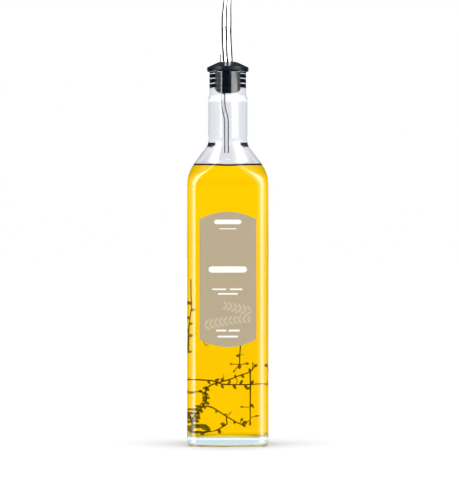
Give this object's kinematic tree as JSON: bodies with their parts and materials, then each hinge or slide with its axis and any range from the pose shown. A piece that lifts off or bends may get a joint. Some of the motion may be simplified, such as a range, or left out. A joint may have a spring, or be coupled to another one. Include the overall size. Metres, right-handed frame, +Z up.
{
  "type": "oil dispenser bottle",
  "caption": "Square clear glass oil bottle with arched panels and a round neck, filled with herb oil, closed by a black finned stopper with a bent steel spout.",
  "frame": {"origin": "centre of the base on the surface that the bottle stands on", "axes": "+Z up along the bottle's axis, -Y out of the front panel that carries the label"},
  "size_m": [0.0572, 0.0574, 0.3213],
  "materials": {
    "clear_glass": "clear polished",
    "yellow_oil": "clear liquid",
    "label_paper": "matte",
    "black_rubber": "satin",
    "spout_steel": "polished",
    "vent_steel": "polished",
    "herbs": "matte",
    "label_print": "matte"
  },
  "bodies": {
    "root": {"glass_bottle": "clear_glass", "oil": "yellow_oil", "front_label": "label_paper", "stopper": "black_rubber", "spout": "spout_steel", "vent_tube": "vent_steel"}
  },
  "joints": []
}
